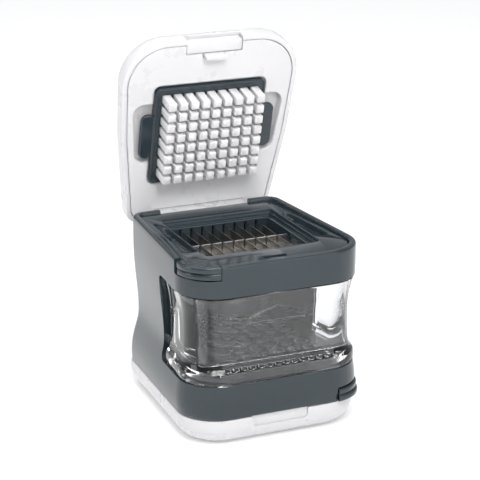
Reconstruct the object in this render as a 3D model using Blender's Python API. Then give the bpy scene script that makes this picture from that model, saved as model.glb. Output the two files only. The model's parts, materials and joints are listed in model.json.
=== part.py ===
"""Vegetable dicer: a hand-pressed cube with a pin lid, a lift-out slicer, a clear drawer and a base store.

X is to the right, Y to the back and Z up, with the origin on the floor under the middle of the blade grid.
Sizes below are in millimetres. The meshes are made in metres.
"""

import math

import bmesh
import bpy
from mathutils import Matrix, Vector

MM = 0.001
GAP = 0.3  # the clearance between two pieces that touch

# The grid that every other size follows: square cells, as many columns and rows as there are pins.
PITCH = 5.0
COLUMNS = 9
ROWS = 8
BLADE_THICK = 0.5
BLADE_TALL = 7.3

# Heights from the floor.
BASE_TOP = 11.3
BODY_BOTTOM = BASE_TOP + GAP
WINDOW_BOTTOM = 26.5
WINDOW_TOP = 64.0
BODY_TOP = 77.5
INSERT_TOP = 76.5
STORED_TOP = 12.7
INSERT_TALL = 11.8
LID_BOTTOM = BODY_TOP + GAP
LID_TALL = 12.6

# The body in plan: a trapezoid, wide in front, with large round front corners and a waist.
FRONT_Y = -43.4
BACK_Y = 39.8
FRONT_HALF = 40.6
TOP_BACK_HALF = 33.8
BOTTOM_BACK_HALF = 36.2
FRONT_RADIUS = 17.0
BACK_RADIUS = 6.0
WAIST_Z = 35.0
WAIST_DEPTH = 2.6

# Walls, as insets from the outside.
RIM_WALL = 2.9
SEAT_WALL = 4.8
INSERT_INSET = RIM_WALL + 0.4
SKIRT_INSET = SEAT_WALL + 0.4
SEAT_Z = 74.2

# The two hinges, on the back of the body, as (y, z).
LID_AXIS = (39.5, 71.6)
BASE_AXIS = (39.5, 17.5)
BARREL_RADIUS = 3.0
BARREL_HALF = 20.5
LUG_END = 26.8
PIN_RADIUS = 1.0
BORE_RADIUS = PIN_RADIUS + GAP
LID_OPEN_DEG = 75.1

# The lid: how far inside its edge the seam round the inner panel runs.
SEAM_INSET = 2.4

# The pins and the cleaning comb, with the lid shut.
PIN_WIDTH = 3.5
PIN_TIP_Z = 68.8
COMB_FACE_Z = 76.8
COMB_THICK = 2.3
COMB_HALF = (24.9, 22.6)
EAR_HALF = (30.4, 10.4)

# The opening of an insert and the recess round it.
OPENING_HALF = (22.7, 22.4)
RECESS_HALF = (25.1, 24.9)
RECESS_DEEP = 3.0
BLADE_DROP = 4.0

# The clear drawer.
DRAWER_BOTTOM = 26.9
DRAWER_TOP = 63.4
SHOULDER_Y = -6.4
DRAWER_BACK_Y = 34.9
ARC_STEPS = 7


def material(name, colour, roughness, metallic=0.0, clear=0.0):
    made = bpy.data.materials.new(name)
    made.use_nodes = True
    shader = made.node_tree.nodes["Principled BSDF"]
    shader.inputs["Base Color"].default_value = (*colour, 1.0)
    shader.inputs["Roughness"].default_value = roughness
    shader.inputs["Metallic"].default_value = metallic
    shader.inputs["Transmission Weight"].default_value = clear
    made.diffuse_color = (*colour, 1.0 - 0.65 * clear)
    return made


def clear_scene():
    for obj in list(bpy.data.objects):
        bpy.data.objects.remove(obj)


def pivot(name, place=(0.0, 0.0, 0.0), parent=None):
    """An empty on a joint's axis. The pieces of one moving body are its children."""
    empty = bpy.data.objects.new(name, None)
    bpy.context.scene.collection.objects.link(empty)
    empty.location = Vector(place) * MM
    if parent:
        empty.parent = parent
        empty.location = (Vector(place) - Vector(parent["place"])) * MM
    empty["place"] = place
    return empty


def add_object(name, shape, made_of, parent, smooth_deg=30.0):
    """Turns a bmesh drawn in place into an object whose origin is on its parent's axis."""
    bmesh.ops.recalc_face_normals(shape, faces=shape.faces)
    bmesh.ops.translate(shape, verts=shape.verts, vec=-Vector(parent["place"]))
    bmesh.ops.scale(shape, verts=shape.verts, vec=(MM, MM, MM))
    mesh = bpy.data.meshes.new(name)
    shape.to_mesh(mesh)
    shape.free()
    mesh.materials.append(made_of)
    mesh.polygons.foreach_set("use_smooth", [True] * len(mesh.polygons))
    mesh.set_sharp_from_angle(angle=math.radians(smooth_deg))
    obj = bpy.data.objects.new(name, mesh)
    bpy.context.scene.collection.objects.link(obj)
    obj.parent = parent
    return obj


def boolean(target, label, shape, operation="DIFFERENCE"):
    """Cuts a bmesh out of the target, or joins it on, by an exact Boolean."""
    tool = add_object(f"{target.name}_{label}", shape, target.data.materials[0], target.parent)
    tool.hide_render = True
    tool.display_type = "WIRE"
    step = target.modifiers.new(label, "BOOLEAN")
    step.operation = operation
    step.object = tool


def lerp(low, high, share):
    return low + (high - low) * share


def inset_corners(corners, inset):
    """Moves each side of a convex polygon inward. The corners run anticlockwise."""
    count = len(corners)
    moved = []
    for i in range(count):
        before, here, after = (Vector(corners[(i + k) % count]) for k in (-1, 0, 1))
        first = (here - before).normalized()
        second = (after - here).normalized()
        normals = Vector((-first.y, first.x)) + Vector((-second.y, second.x))
        moved.append(here + normals * inset / (0.5 * normals.length_squared))
    return moved


def rounded(corners, radii, steps=ARC_STEPS):
    """A polygon with each corner turned into an arc that meets both of its sides."""
    points = []
    count = len(corners)
    for i in range(count):
        before, here, after = (Vector(corners[(i + k) % count]) for k in (-1, 0, 1))
        back = (before - here).normalized()
        ahead = (after - here).normalized()
        half = 0.5 * back.angle(ahead)
        centre = here + (back + ahead).normalized() * radii[i] / math.sin(half)
        start = here + back * radii[i] / math.tan(half) - centre
        end = here + ahead * radii[i] / math.tan(half) - centre
        turn = start.angle_signed(end)
        for k in range(steps + 1):
            spin = Matrix.Rotation(-turn * k / steps, 2)
            points.append(centre + spin @ start)
    return points


def loft(rings, ring_shape=False):
    """A closed solid through a list of (outline, z). A ring shape joins the last outline to the first."""
    shape = bmesh.new()
    loops = [[shape.verts.new((p[0], p[1], z)) for p in outline] for outline, z in rings]
    pairs = list(zip(loops, loops[1:]))
    if ring_shape:
        pairs.append((loops[-1], loops[0]))
    else:
        shape.faces.new(loops[0])
        shape.faces.new(loops[-1])
    for low, high in pairs:
        for i in range(len(low)):
            j = (i + 1) % len(low)
            shape.faces.new((low[i], low[j], high[j], high[i]))
    return shape


def box(x, y, z, radius=0.0, steps=4):
    """A block between pairs of limits, with its upright edges rounded when a radius is given."""
    corners = [(x[0], y[0]), (x[1], y[0]), (x[1], y[1]), (x[0], y[1])]
    outline = rounded(corners, [radius] * 4, steps) if radius else corners
    return loft([(outline, z[0]), (outline, z[1])])


def rod(radius, x, centre, sides=20):
    """A round bar along X between two limits, centred on (y, z)."""
    shape = bmesh.new()
    place = Matrix.Translation((0.5 * (x[0] + x[1]), *centre)) @ Matrix.Rotation(math.pi / 2, 4, "Y")
    length = x[1] - x[0]
    bmesh.ops.create_cone(
        shape, cap_ends=True, segments=sides, radius1=radius, radius2=radius, depth=length, matrix=place
    )
    return shape


def merge(*shapes):
    """One bmesh that holds several solids, which don't touch."""
    whole = bmesh.new()
    for shape in shapes:
        mesh = bpy.data.meshes.new("part_of_tool")
        shape.to_mesh(mesh)
        shape.free()
        whole.from_mesh(mesh)
        bpy.data.meshes.remove(mesh)
    return whole


def waist(z):
    spread = 20.0 if z > WAIST_Z else 9.5
    return WAIST_DEPTH * math.exp(-(((z - WAIST_Z) / spread) ** 2))


def body_corners(z, inset=0.0):
    share = (z - BODY_BOTTOM) / (BODY_TOP - BODY_BOTTOM)
    tuck = 1.2 * max(0.0, (20.0 - z) / (20.0 - BODY_BOTTOM)) ** 2
    front = FRONT_HALF - waist(z) - tuck
    back = lerp(BOTTOM_BACK_HALF, TOP_BACK_HALF, share) - waist(z) - 0.5 * tuck
    front_y = FRONT_Y + tuck
    back_y = BACK_Y - 0.5 * waist(z)
    corners = [(-front, front_y), (front, front_y), (back, back_y), (-back, back_y)]
    return inset_corners(corners, inset)


def body_outline(z, inset=0.0):
    front = max(1.0, FRONT_RADIUS - inset)
    back = max(1.0, BACK_RADIUS - 0.8 * inset)
    return rounded(body_corners(z, inset), [front, front, back, back])


def store_outline(inset):
    """The outline that both inserts and both of their seats share, taken at the top of the body."""
    front = FRONT_RADIUS - inset
    return rounded(body_corners(INSERT_TOP, inset), [front, front, 3.0, 3.0])


def hinge_bore(axis):
    return rod(BORE_RADIUS, (-LUG_END + 1.4, LUG_END - 1.4), axis)


def body_shell(body, slate):
    """The one-piece slate moulding: an upper and a lower band, sides behind the window and a back."""
    levels = [BODY_BOTTOM, 13.0, 16.0, 19.0, 22.0, 24.5, 27.0, 30.0, 33.5]
    levels += [38.0, 44.0, 50.0, 56.0, 62.0, 68.0, 75.2]
    rings = [(body_outline(z), z) for z in levels]
    rim_steps = ((0.2, 76.4), (0.7, 77.1), (1.6, BODY_TOP))
    rings += [(body_outline(BODY_TOP, inset), z) for inset, z in rim_steps]
    shell = add_object("body_shell", loft(rings), slate, body)
    store = store_outline(RIM_WALL)
    boolean(shell, "store", loft([(store, BODY_BOTTOM - 2.0), (store, 26.7)]))
    bay = [(-33.0, -20.0), (33.0, -20.0), (28.9, 35.4), (-28.9, 35.4)]
    bay_outline = rounded(bay, [1.0, 1.0, 4.0, 4.0])
    boolean(shell, "bay", loft([(bay_outline, 26.4), (bay_outline, 63.3)]))
    seat = [(SEAT_WALL, 62.9), (SEAT_WALL, SEAT_Z), (RIM_WALL, SEAT_Z), (RIM_WALL, BODY_TOP + 2.0)]
    boolean(shell, "seat", loft([(store_outline(inset), z) for inset, z in seat]))
    boolean(shell, "window", window_tool())
    for name, axis, low, high in (("lid", LID_AXIS, 68.2, 80.0), ("base", BASE_AXIS, 9.0, 20.9)):
        lugs = [rod(BARREL_RADIUS, x, axis) for x in ((-LUG_END, -21.2), (21.2, LUG_END))]
        boolean(shell, f"{name}_lugs", merge(*lugs), "UNION")
        notch = box((-20.9, 20.9), (35.9, 46.0), (low, high))
        boolean(shell, f"{name}_notch", notch)
        boolean(shell, f"{name}_bore", hinge_bore(axis))
    upper_gap = box((-46.0, -25.8), (-48.0, -25.3), (71.4, 80.0))
    lower_gap = box((25.8, 46.0), (-48.0, -25.3), (9.0, 17.9))
    boolean(shell, "tab_gaps", merge(upper_gap, lower_gap))


def window_tool():
    """The opening through the front and both sides, with round rear corners, drawn in side view."""
    low, high = WINDOW_BOTTOM, WINDOW_TOP
    outline = rounded([(-60.0, low), (-3.0, low), (-3.0, high), (-60.0, high)], [1.0, 3.0, 3.0, 1.0], 5)
    shape = loft([(outline, -50.0), (outline, 50.0)])
    turn = Matrix(((0, 0, 1), (1, 0, 0), (0, 1, 0))).to_4x4()
    bmesh.ops.transform(shape, matrix=turn, verts=shape.verts)
    return shape


def deck(body, slate):
    """The floor between the drawer bay and the store."""
    outline = store_outline(RIM_WALL + GAP)
    plate = loft([(outline, 24.9), (outline, 26.2)])
    add_object("container_deck", plate, slate, body)


def hinge_pins(body, steel):
    for name, axis in (("lid_hinge_pin", LID_AXIS), ("base_hinge_pin", BASE_AXIS)):
        add_object(name, rod(PIN_RADIUS, (-LUG_END + 1.7, LUG_END - 1.7), axis), steel, body)


def lid_corners(inset=0.0):
    right = [(40.7, FRONT_Y), (38.2, 2.0), (33.0, 42.4)]
    left = [(-x, y) for x, y in reversed(right)]
    return inset_corners(right + left, inset)


def lid_outline(inset=0.0):
    front = max(3.0, 19.0 - 0.8 * inset)
    back = max(2.0, 6.0 - 0.5 * inset)
    return rounded(lid_corners(inset), [front, 120.0, back, back, 120.0, front])


def pillow(outline, start, end, edge, reach):
    """Rings of a soft round edge that runs inward from a wall at one height to a face at another."""
    rings = []
    for k in range(1, 6):
        angle = 0.5 * math.pi * k / 5
        rings.append((outline(edge + reach * (1.0 - math.cos(angle))), lerp(start, end, math.sin(angle))))
    return rings


def lid_shell(lid, white):
    top = LID_BOTTOM + LID_TALL
    rim = SEAM_INSET - GAP
    ceiling = [(lid_outline(rim + 4.0), 87.4), (lid_outline(rim + 0.6), 85.6)]
    inner = ceiling + [(lid_outline(rim), 84.0), (lid_outline(rim), LID_BOTTOM)]
    outer = [(lid_outline(0.5), LID_BOTTOM), (lid_outline(0.0), LID_BOTTOM + 0.6), (lid_outline(0.0), 83.0)]
    crown = pillow(lid_outline, 83.0, top - 0.6, 0.0, 9.0) + [(lid_outline(22.0), top)]
    shell = add_object("lid_shell", loft(inner + outer + crown), white, lid)
    boolean(shell, "thumb_gap", box((-12.7, 12.7), (-46.0, -36.9), (LID_BOTTOM - 2.0, 82.0)))
    boolean(shell, "hinge_gap", box((-20.8, 20.8), (36.4, 42.9), (LID_BOTTOM - 2.0, 83.5)))


def lid_liner(lid, white):
    """The panel inside the lid. It holds the pusher, and has a finger pocket on each side of the comb."""
    panel = loft([(lid_outline(SEAM_INSET), LID_BOTTOM), (lid_outline(SEAM_INSET), 83.6)])
    liner = add_object("lid_liner", panel, white, lid)
    low = LID_BOTTOM - 2.0
    comb_x, comb_y = COMB_HALF
    recess = box((-comb_x - 0.6, comb_x + 0.6), (-comb_y - 0.6, comb_y + 0.6), (low, 79.4), 3.2)
    boolean(liner, "comb_recess", recess)
    boolean(liner, "pusher_pocket", box((-24.3, 24.3), (-21.8, 21.8), (low, 82.3)))
    pocket = [(20.0, -15.0), (34.2, -15.0), (31.6, 12.6), (20.0, 12.6)]
    boolean(liner, "finger_pockets", merge(*side_recesses(pocket, 4.5, low, 81.2)))
    boolean(liner, "thumb_gap", box((-12.7, 12.7), (-46.0, -36.9), (low, 82.0)))
    boolean(liner, "hook_gap", box((-4.9, 4.9), (-38.0, -34.8), (low, 82.0)))
    boolean(liner, "hinge_gap", box((-20.8, 20.8), (36.4, 45.0), (low, 85.0)))


def side_recesses(right, radius, low, high):
    """The same round-cornered prism on the right and, mirrored, on the left."""
    left = [(-x, y) for x, y in reversed(right)]
    outlines = [rounded(corners, [radius] * 4, 5) for corners in (right, left)]
    return [loft([(outline, low), (outline, high)]) for outline in outlines]


def lid_latch(lid, white):
    block = box((-12.4, 12.4), (-42.2, -37.2), (LID_BOTTOM, 81.7), 0.8)
    add_object("lid_latch_block", block, white, lid)
    hook = box((-4.6, 4.6), (-36.9, -35.1), (74.2, 81.7), 0.5)
    add_object("lid_latch_hook", hook, white, lid)


def hinge_block(name, parent, white, axis, reach):
    """A leg with a barrel at its end. Reach is the height of the leg's far end."""
    legs = sorted((axis[1], reach))
    block = add_object(name, box((-BARREL_HALF, BARREL_HALF), (36.8, 41.6), legs), white, parent)
    boolean(block, "barrel", rod(BARREL_RADIUS, (-BARREL_HALF, BARREL_HALF), axis, 24), "UNION")
    boolean(block, "bore", rod(BORE_RADIUS, (-BARREL_HALF - 1.0, BARREL_HALF + 1.0), axis))


def cell_grid(half, cell_half, z):
    """A flat rectangle divided so that each cell of the pin pattern is a face of its own."""
    def cuts(count, limit):
        middles = [(k - 0.5 * (count - 1)) * PITCH for k in range(count)]
        return [-limit] + [m + side for m in middles for side in (-cell_half, cell_half)] + [limit]

    xs = cuts(COLUMNS, half[0])
    ys = cuts(ROWS, half[1])
    shape = bmesh.new()
    verts = [[shape.verts.new((x, y, z)) for y in ys] for x in xs]
    cells = []
    for i in range(len(xs) - 1):
        for j in range(len(ys) - 1):
            face = shape.faces.new((verts[i][j], verts[i + 1][j], verts[i + 1][j + 1], verts[i][j + 1]))
            if i % 2 and j % 2:
                cells.append(face)
    return shape, cells


def raise_rim(shape, up):
    """Extrudes the outer edge of a flat sheet and closes the far side with one face."""
    edge = [e for e in shape.edges if e.is_boundary]
    made = bmesh.ops.extrude_edge_only(shape, edges=edge)["geom"]
    bmesh.ops.translate(shape, verts=[v for v in made if isinstance(v, bmesh.types.BMVert)], vec=(0, 0, up))
    bmesh.ops.holes_fill(shape, edges=[e for e in shape.edges if e.is_boundary], sides=0)


def pusher(lid, white):
    """The pin plate: every pin is drawn out of the plate and has its tip chamfered."""
    plate_z = 79.7
    shape, cells = cell_grid((24.0, 21.5), 0.5 * PIN_WIDTH, plate_z)
    raise_rim(shape, 2.3)
    cells = bmesh.ops.extrude_discrete_faces(shape, faces=cells)["faces"]
    tips = {v for face in cells for v in face.verts}
    bmesh.ops.translate(shape, verts=list(tips), vec=(0, 0, PIN_TIP_Z + 0.4 - plate_z))
    bmesh.ops.recalc_face_normals(shape, faces=shape.faces)
    bmesh.ops.inset_individual(shape, faces=cells, thickness=0.4, depth=0.4)
    add_object("pusher_pins", shape, white, lid, 20.0)


def comb(slide, slate):
    """The pull-off cleaning comb: a plate with a square hole for each pin and a grip at each side."""
    shape, cells = cell_grid(COMB_HALF, 0.5 * PIN_WIDTH + GAP, COMB_FACE_Z)
    bmesh.ops.delete(shape, geom=cells, context="FACES_ONLY")
    sheet = list(shape.faces)
    made = bmesh.ops.extrude_face_region(shape, geom=sheet, use_keep_orig=True)["geom"]
    raised = [v for v in made if isinstance(v, bmesh.types.BMVert)]
    bmesh.ops.translate(shape, verts=raised, vec=(0, 0, COMB_THICK))
    upright = [e for e in shape.edges if abs(e.verts[0].co.z - e.verts[1].co.z) > 1.0]
    corners = [e for e in upright if abs(e.verts[0].co.x) > 24.0 and abs(e.verts[0].co.y) > 22.0]
    bmesh.ops.bevel(shape, geom=corners, offset=2.4, segments=4, profile=0.5, affect="EDGES")
    plate = add_object("cleaning_comb", shape, slate, slide)
    ear_x, ear_y = EAR_HALF
    z = (COMB_FACE_Z + 0.3, COMB_FACE_Z + COMB_THICK - 0.2)
    ears = [box((-ear_x, -24.2), (-ear_y, ear_y), z, 3.4), box((24.2, ear_x), (-ear_y, ear_y), z, 3.4)]
    boolean(plate, "ears", merge(*ears), "UNION")


def place_insert(shape, stored):
    """Moves an insert drawn with its top face at z = 0 to the seat, or upside down to the store."""
    if stored:
        bmesh.ops.rotate(shape, verts=shape.verts, matrix=Matrix.Rotation(math.pi, 3, "Y"))
    height = STORED_TOP if stored else INSERT_TOP
    bmesh.ops.translate(shape, verts=shape.verts, vec=(0, 0, height))
    return shape


def finger_tab():
    """The grip at one front corner of an insert: two lips that follow the corner of the body."""
    def lip(out):
        arc = rounded(body_corners(INSERT_TOP, -out), [FRONT_RADIUS + out] * 4)[1:ARC_STEPS]
        inner = [(-28.0, -34.0), (-33.5, -27.5)]
        return [tuple(p) for p in arc] + inner

    levels = [(0.3, -3.5), (0.3, -2.2), (-0.3, -2.0), (-0.3, -1.8), (0.9, -1.6), (0.9, 0.4), (0.4, 0.9)]
    return loft([(lip(out), z) for out, z in levels])


def insert_frame(name, slide, slate, stored, cross_rows):
    skirt = store_outline(SKIRT_INSET)
    plate = store_outline(INSERT_INSET)
    eased = store_outline(INSERT_INSET + 0.4)
    rings = [(skirt, -INSERT_TALL), (skirt, -2.0), (plate, -2.0), (plate, -0.4), (eased, 0.0)]
    frame = add_object(name, place_insert(loft(rings), stored), slate, slide)

    def cut(label, shape, operation="DIFFERENCE"):
        boolean(frame, label, place_insert(shape, stored), operation)

    open_x, open_y = OPENING_HALF
    ledge_x, ledge_y = RECESS_HALF
    cut("tab", finger_tab(), "UNION")
    cut("recess", box((-ledge_x, ledge_x), (-ledge_y - 0.5, ledge_y), (-RECESS_DEEP, 3.0), 1.6))
    cut("opening", box((-open_x, open_x), (-open_y, open_y), (-INSERT_TALL - 2.0, 1.0), 0.6))
    wall = rounded([(-25.0, -24.8), (25.0, -24.8), (25.0, 24.8), (-25.0, 24.8)], [1.0] * 4)
    hollow = store_outline(SKIRT_INSET + 1.6)
    under = [(hollow, -INSERT_TALL - 2.0), (hollow, -5.0), (wall, -5.0), (wall, -INSERT_TALL - 2.0)]
    cut("under", loft(under, ring_shape=True))
    ear = [(26.0, -18.5), (32.6, -18.5), (29.8, 15.5), (26.0, 15.5)]
    cut("ear_recesses", merge(*side_recesses(ear, 1.8, -2.6, 3.0)))
    cut("hook_slit", box((-5.2, 5.2), (-37.4, -34.7), (-8.0, 2.0), 0.6))
    half = 0.5 * BLADE_THICK + GAP
    z = (-INSERT_TALL - 2.0, -BLADE_DROP + GAP)
    slots = [box((x - half, x + half), (-24.2, 24.2), z) for x in long_blade_places()]
    cut("long_slots", merge(*slots))
    cut("cross_slots", merge(*[box((-24.4, 24.4), (y - half, y + half), z) for y in cross_rows]))


def long_blade_places():
    return [(k - 0.5 * (COLUMNS - 2)) * PITCH for k in range(COLUMNS - 1)]


def cross_blade_places():
    return [(k - 0.5 * (ROWS - 2)) * PITCH for k in range(ROWS - 1)]


def blade(half_length, notches, from_top):
    """A flat strip in the XZ plane, half-lapped at each crossing, its edge below the insert's face."""
    top = -BLADE_DROP
    bottom = top - BLADE_TALL
    middle = 0.5 * (top + bottom)
    half = 0.5 * BLADE_THICK + GAP
    notched, plain = (top, bottom) if from_top else (bottom, top)
    lap = middle - 0.5 * GAP if from_top else middle + 0.5 * GAP
    outline = [(-half_length, notched)]
    for place in notches:
        outline += [(place - half, notched), (place - half, lap)]
        outline += [(place + half, lap), (place + half, notched)]
    outline += [(half_length, notched), (half_length, plain), (-half_length, plain)]
    shape = bmesh.new()
    flanks = (-0.5 * BLADE_THICK, 0.5 * BLADE_THICK)
    sides = [[shape.verts.new((x, y, z)) for x, z in outline] for y in flanks]
    shape.faces.new(sides[0])
    shape.faces.new(sides[1])
    for i in range(len(outline)):
        j = (i + 1) % len(outline)
        shape.faces.new((sides[0][i], sides[0][j], sides[1][j], sides[1][i]))
    return shape


def insert_blades(kind, slide, steel, stored, cross_rows):
    for number, x in enumerate(long_blade_places(), 1):
        strip = blade(23.9, cross_rows, False)
        bmesh.ops.rotate(strip, verts=strip.verts, matrix=Matrix.Rotation(math.pi / 2, 3, "Z"))
        bmesh.ops.translate(strip, verts=strip.verts, vec=(x, 0, 0))
        add_object(f"{kind}_blade_{number}", place_insert(strip, stored), steel, slide)
    for number, y in enumerate(cross_rows, 1):
        strip = blade(24.1, long_blade_places(), True)
        bmesh.ops.translate(strip, verts=strip.verts, vec=(0, y, 0))
        add_object(f"{kind}_cross_blade_{number}", place_insert(strip, stored), steel, slide)


def drawer_outline(inset):
    """The drawer in plan: a wide front that fills the window and a narrower tail inside the body."""
    wide = [39.8 - inset, 36.4 - inset]
    tail = [31.0, 28.4]
    front = FRONT_Y + 0.2 + inset
    right = [(wide[0], front), (wide[1], SHOULDER_Y), (tail[0], SHOULDER_Y), (tail[1], DRAWER_BACK_Y)]
    left = [(-x, y) for x, y in reversed(right)]
    radii = [15.5 - 0.7 * inset, min(1.5, 0.45 * (wide[1] - tail[0])), 0.2, 3.5]
    return rounded(right + left, radii + radii[::-1], 6)


def container(slide, clear):
    """The clear drawer: a foot flange, hollow walls drawn in at the waist, and round front corners."""
    foot = [(0.6, DRAWER_BOTTOM), (0.2, 27.4), (0.2, 30.8), (0.4, 31.5)]
    wall = [(0.9, 32.2), (1.7, 33.4), (2.2, 35.0), (2.5, 37.6), (2.6, 41.0)]
    wall += [(2.6, 50.0), (2.2, 55.0), (1.5, 58.6), (0.9, 61.4)]
    rim = [(0.4, DRAWER_TOP - 0.3), (0.7, DRAWER_TOP)]
    rings = [(drawer_outline(inset), z) for inset, z in foot + wall + rim]
    drawer = add_object("container", loft(rings), clear, slide)
    inside = rounded([(-33.2, -36.6), (33.2, -36.6), (24.9, 32.3), (-24.9, 32.3)], [4.0] * 4)
    boolean(drawer, "inside", loft([(inside, 33.4), (inside, DRAWER_TOP + 2.0)]))
    foot_corners = [(-36.0, -40.6), (36.0, -40.6), (30.4, -8.0), (25.8, 32.0), (-25.8, 32.0), (-30.4, -8.0)]
    under = rounded(foot_corners, [13.0, 13.0, 3.0, 3.0, 3.0, 3.0])
    boolean(drawer, "under", loft([(under, DRAWER_BOTTOM - 2.0), (under, 30.6)]))


def base_outline(inset=0.0):
    corners = body_corners(BODY_BOTTOM)
    corners = [corners[0], corners[1], (corners[2][0] - 0.1, 42.4), (-corners[2][0] + 0.1, 42.4)]
    front = max(3.0, FRONT_RADIUS - 0.8 * inset)
    return rounded(inset_corners(corners, inset), [front, front, 6.0 - 0.2 * inset, 6.0 - 0.2 * inset])


def base_cover(hinge, white):
    """The lower lid, which closes the store and is what the dicer stands on."""
    walls = [(8.0, 2.6), (4.0, 4.2), (3.0, 6.4), (3.0, BASE_TOP), (0.2, BASE_TOP), (0.1, 8.0)]
    rings = [(base_outline(inset), z) for inset, z in walls] + pillow(base_outline, 8.0, 0.0, 0.1, 8.4)
    shell = add_object("base_cover_shell", loft(rings), white, hinge)
    boolean(shell, "thumb_gap", box((-12.5, 12.5), (-48.0, -41.2), (6.9, BASE_TOP + 2.0)))
    boolean(shell, "hinge_gap", box((-20.8, 20.8), (36.4, 42.9), (6.4, BASE_TOP + 2.0)))
    panel = loft([(base_outline(3.3), 8.4), (base_outline(3.3), BASE_TOP)])
    liner = add_object("base_cover_liner", panel, white, hinge)
    boolean(liner, "hook_gap", box((-4.9, 4.9), (-37.2, -34.8), (7.0, BASE_TOP + 2.0)))
    boolean(liner, "hinge_gap", box((-20.8, 20.8), (36.4, 45.0), (7.0, BASE_TOP + 2.0)))
    add_object("base_latch_hook", box((-4.6, 4.6), (-36.9, -35.1), (8.4, 15.0), 0.5), white, hinge)


def build():
    clear_scene()
    white = material("white_plastic", (0.86, 0.86, 0.88), 0.32)
    slate = material("slate_plastic", (0.060, 0.082, 0.098), 0.34)
    steel = material("blade_steel", (0.62, 0.60, 0.57), 0.28, metallic=1.0)
    clear = material("clear_plastic", (0.95, 0.97, 0.98), 0.05, clear=1.0)

    body = pivot("body")
    body_shell(body, slate)
    deck(body, slate)
    hinge_pins(body, steel)

    lid = pivot("lid_axis", (0.0, *LID_AXIS))
    lid_shell(lid, white)
    lid_liner(lid, white)
    lid_latch(lid, white)
    hinge_block("lid_hinge_block", lid, white, LID_AXIS, 83.2)
    pusher(lid, white)
    comb_slide = pivot("comb_axis", (0.0, 0.0, COMB_FACE_Z), lid)
    comb(comb_slide, slate)
    lid.rotation_euler = (-math.radians(LID_OPEN_DEG), 0.0, 0.0)

    slicer = pivot("slicer_axis", (0.0, 0.0, INSERT_TOP))
    insert_frame("slicer_frame", slicer, slate, False, [0.0])
    insert_blades("slicer", slicer, steel, False, [0.0])
    dicer = pivot("dicer_axis", (0.0, 0.0, STORED_TOP))
    insert_frame("dicer_frame", dicer, slate, True, cross_blade_places())
    insert_blades("dicer", dicer, steel, True, cross_blade_places())

    container(pivot("container_axis", (0.0, 0.0, DRAWER_BOTTOM)), clear)
    base = pivot("base_cover_axis", (0.0, *BASE_AXIS))
    base_cover(base, white)
    hinge_block("base_hinge_block", base, white, BASE_AXIS, 8.6)


build()
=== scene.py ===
"""The looks of a hand-pressed vegetable dicer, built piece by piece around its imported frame."""

import json
import math

import bmesh
import bpy
from mathutils import Matrix, Vector


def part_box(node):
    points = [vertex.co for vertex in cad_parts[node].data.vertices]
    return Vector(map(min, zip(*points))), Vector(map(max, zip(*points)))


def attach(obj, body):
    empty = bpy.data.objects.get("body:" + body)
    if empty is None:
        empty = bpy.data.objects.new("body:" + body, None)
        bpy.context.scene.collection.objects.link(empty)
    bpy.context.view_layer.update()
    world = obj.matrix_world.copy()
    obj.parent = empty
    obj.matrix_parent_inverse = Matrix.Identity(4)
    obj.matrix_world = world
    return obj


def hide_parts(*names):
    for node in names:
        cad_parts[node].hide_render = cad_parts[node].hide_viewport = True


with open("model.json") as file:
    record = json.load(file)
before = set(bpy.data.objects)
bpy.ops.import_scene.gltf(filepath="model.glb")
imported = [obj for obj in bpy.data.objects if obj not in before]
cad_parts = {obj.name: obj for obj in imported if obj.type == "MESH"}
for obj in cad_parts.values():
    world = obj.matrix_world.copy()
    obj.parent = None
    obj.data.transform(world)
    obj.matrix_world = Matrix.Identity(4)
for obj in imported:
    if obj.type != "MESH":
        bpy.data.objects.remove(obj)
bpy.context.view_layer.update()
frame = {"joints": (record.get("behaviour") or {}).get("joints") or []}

# ---------------------------------------------------------------------------------------------
# The place it stands in: a wide white table, seen from a little above its front left corner. A
# large soft lamp hangs overhead, and weaker ones stand in front, on the left and by the hinge.

scene = bpy.context.scene
scene.view_settings.view_transform = "Standard"

camera = bpy.data.objects.new("camera", bpy.data.cameras.new("camera"))
scene.collection.objects.link(camera)
scene.camera = camera
camera_right = Vector((0.918243, -0.396008, -0.002777))
camera_up = Vector((0.124463, 0.281926, 0.951329))
camera_back = camera_right.cross(camera_up).normalized()
camera.matrix_world = Matrix.Translation((-0.29004, -0.67499, 0.31050)) @ Matrix(
    (camera_right, camera_up, camera_back)
).transposed().to_4x4()
camera.data.sensor_width = 36.0
camera.data.lens = 138.75
camera.data.clip_start = 0.01

table_mesh = bpy.data.meshes.new("table")
TABLE_HALF = 4.0
TABLE_TOP = -0.0002
table_corners = [(x * TABLE_HALF, y * TABLE_HALF, TABLE_TOP) for x, y in ((-1, -1), (1, -1), (1, 1), (-1, 1))]
table_mesh.from_pydata(table_corners, [], [(0, 1, 2, 3)])
table = bpy.data.objects.new("table", table_mesh)
scene.collection.objects.link(table)
table_white = bpy.data.materials.new("table_white")
table_white.use_nodes = True
table_shader = table_white.node_tree.nodes["Principled BSDF"]
table_shader.inputs["Base Color"].default_value = (0.93, 0.93, 0.93, 1.0)
table_shader.inputs["Roughness"].default_value = 0.9
table_shader.inputs["Specular IOR Level"].default_value = 0.1
table_shader.inputs["Emission Color"].default_value = (1.0, 1.0, 1.0, 1.0)
table_shader.inputs["Emission Strength"].default_value = 0.15
table_mesh.materials.append(table_white)

world = bpy.data.worlds.new("studio")
scene.world = world
world.use_nodes = True
world.node_tree.nodes["Background"].inputs["Color"].default_value = (0.97, 0.98, 1.0, 1.0)
world.node_tree.nodes["Background"].inputs["Strength"].default_value = 0.46


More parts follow.
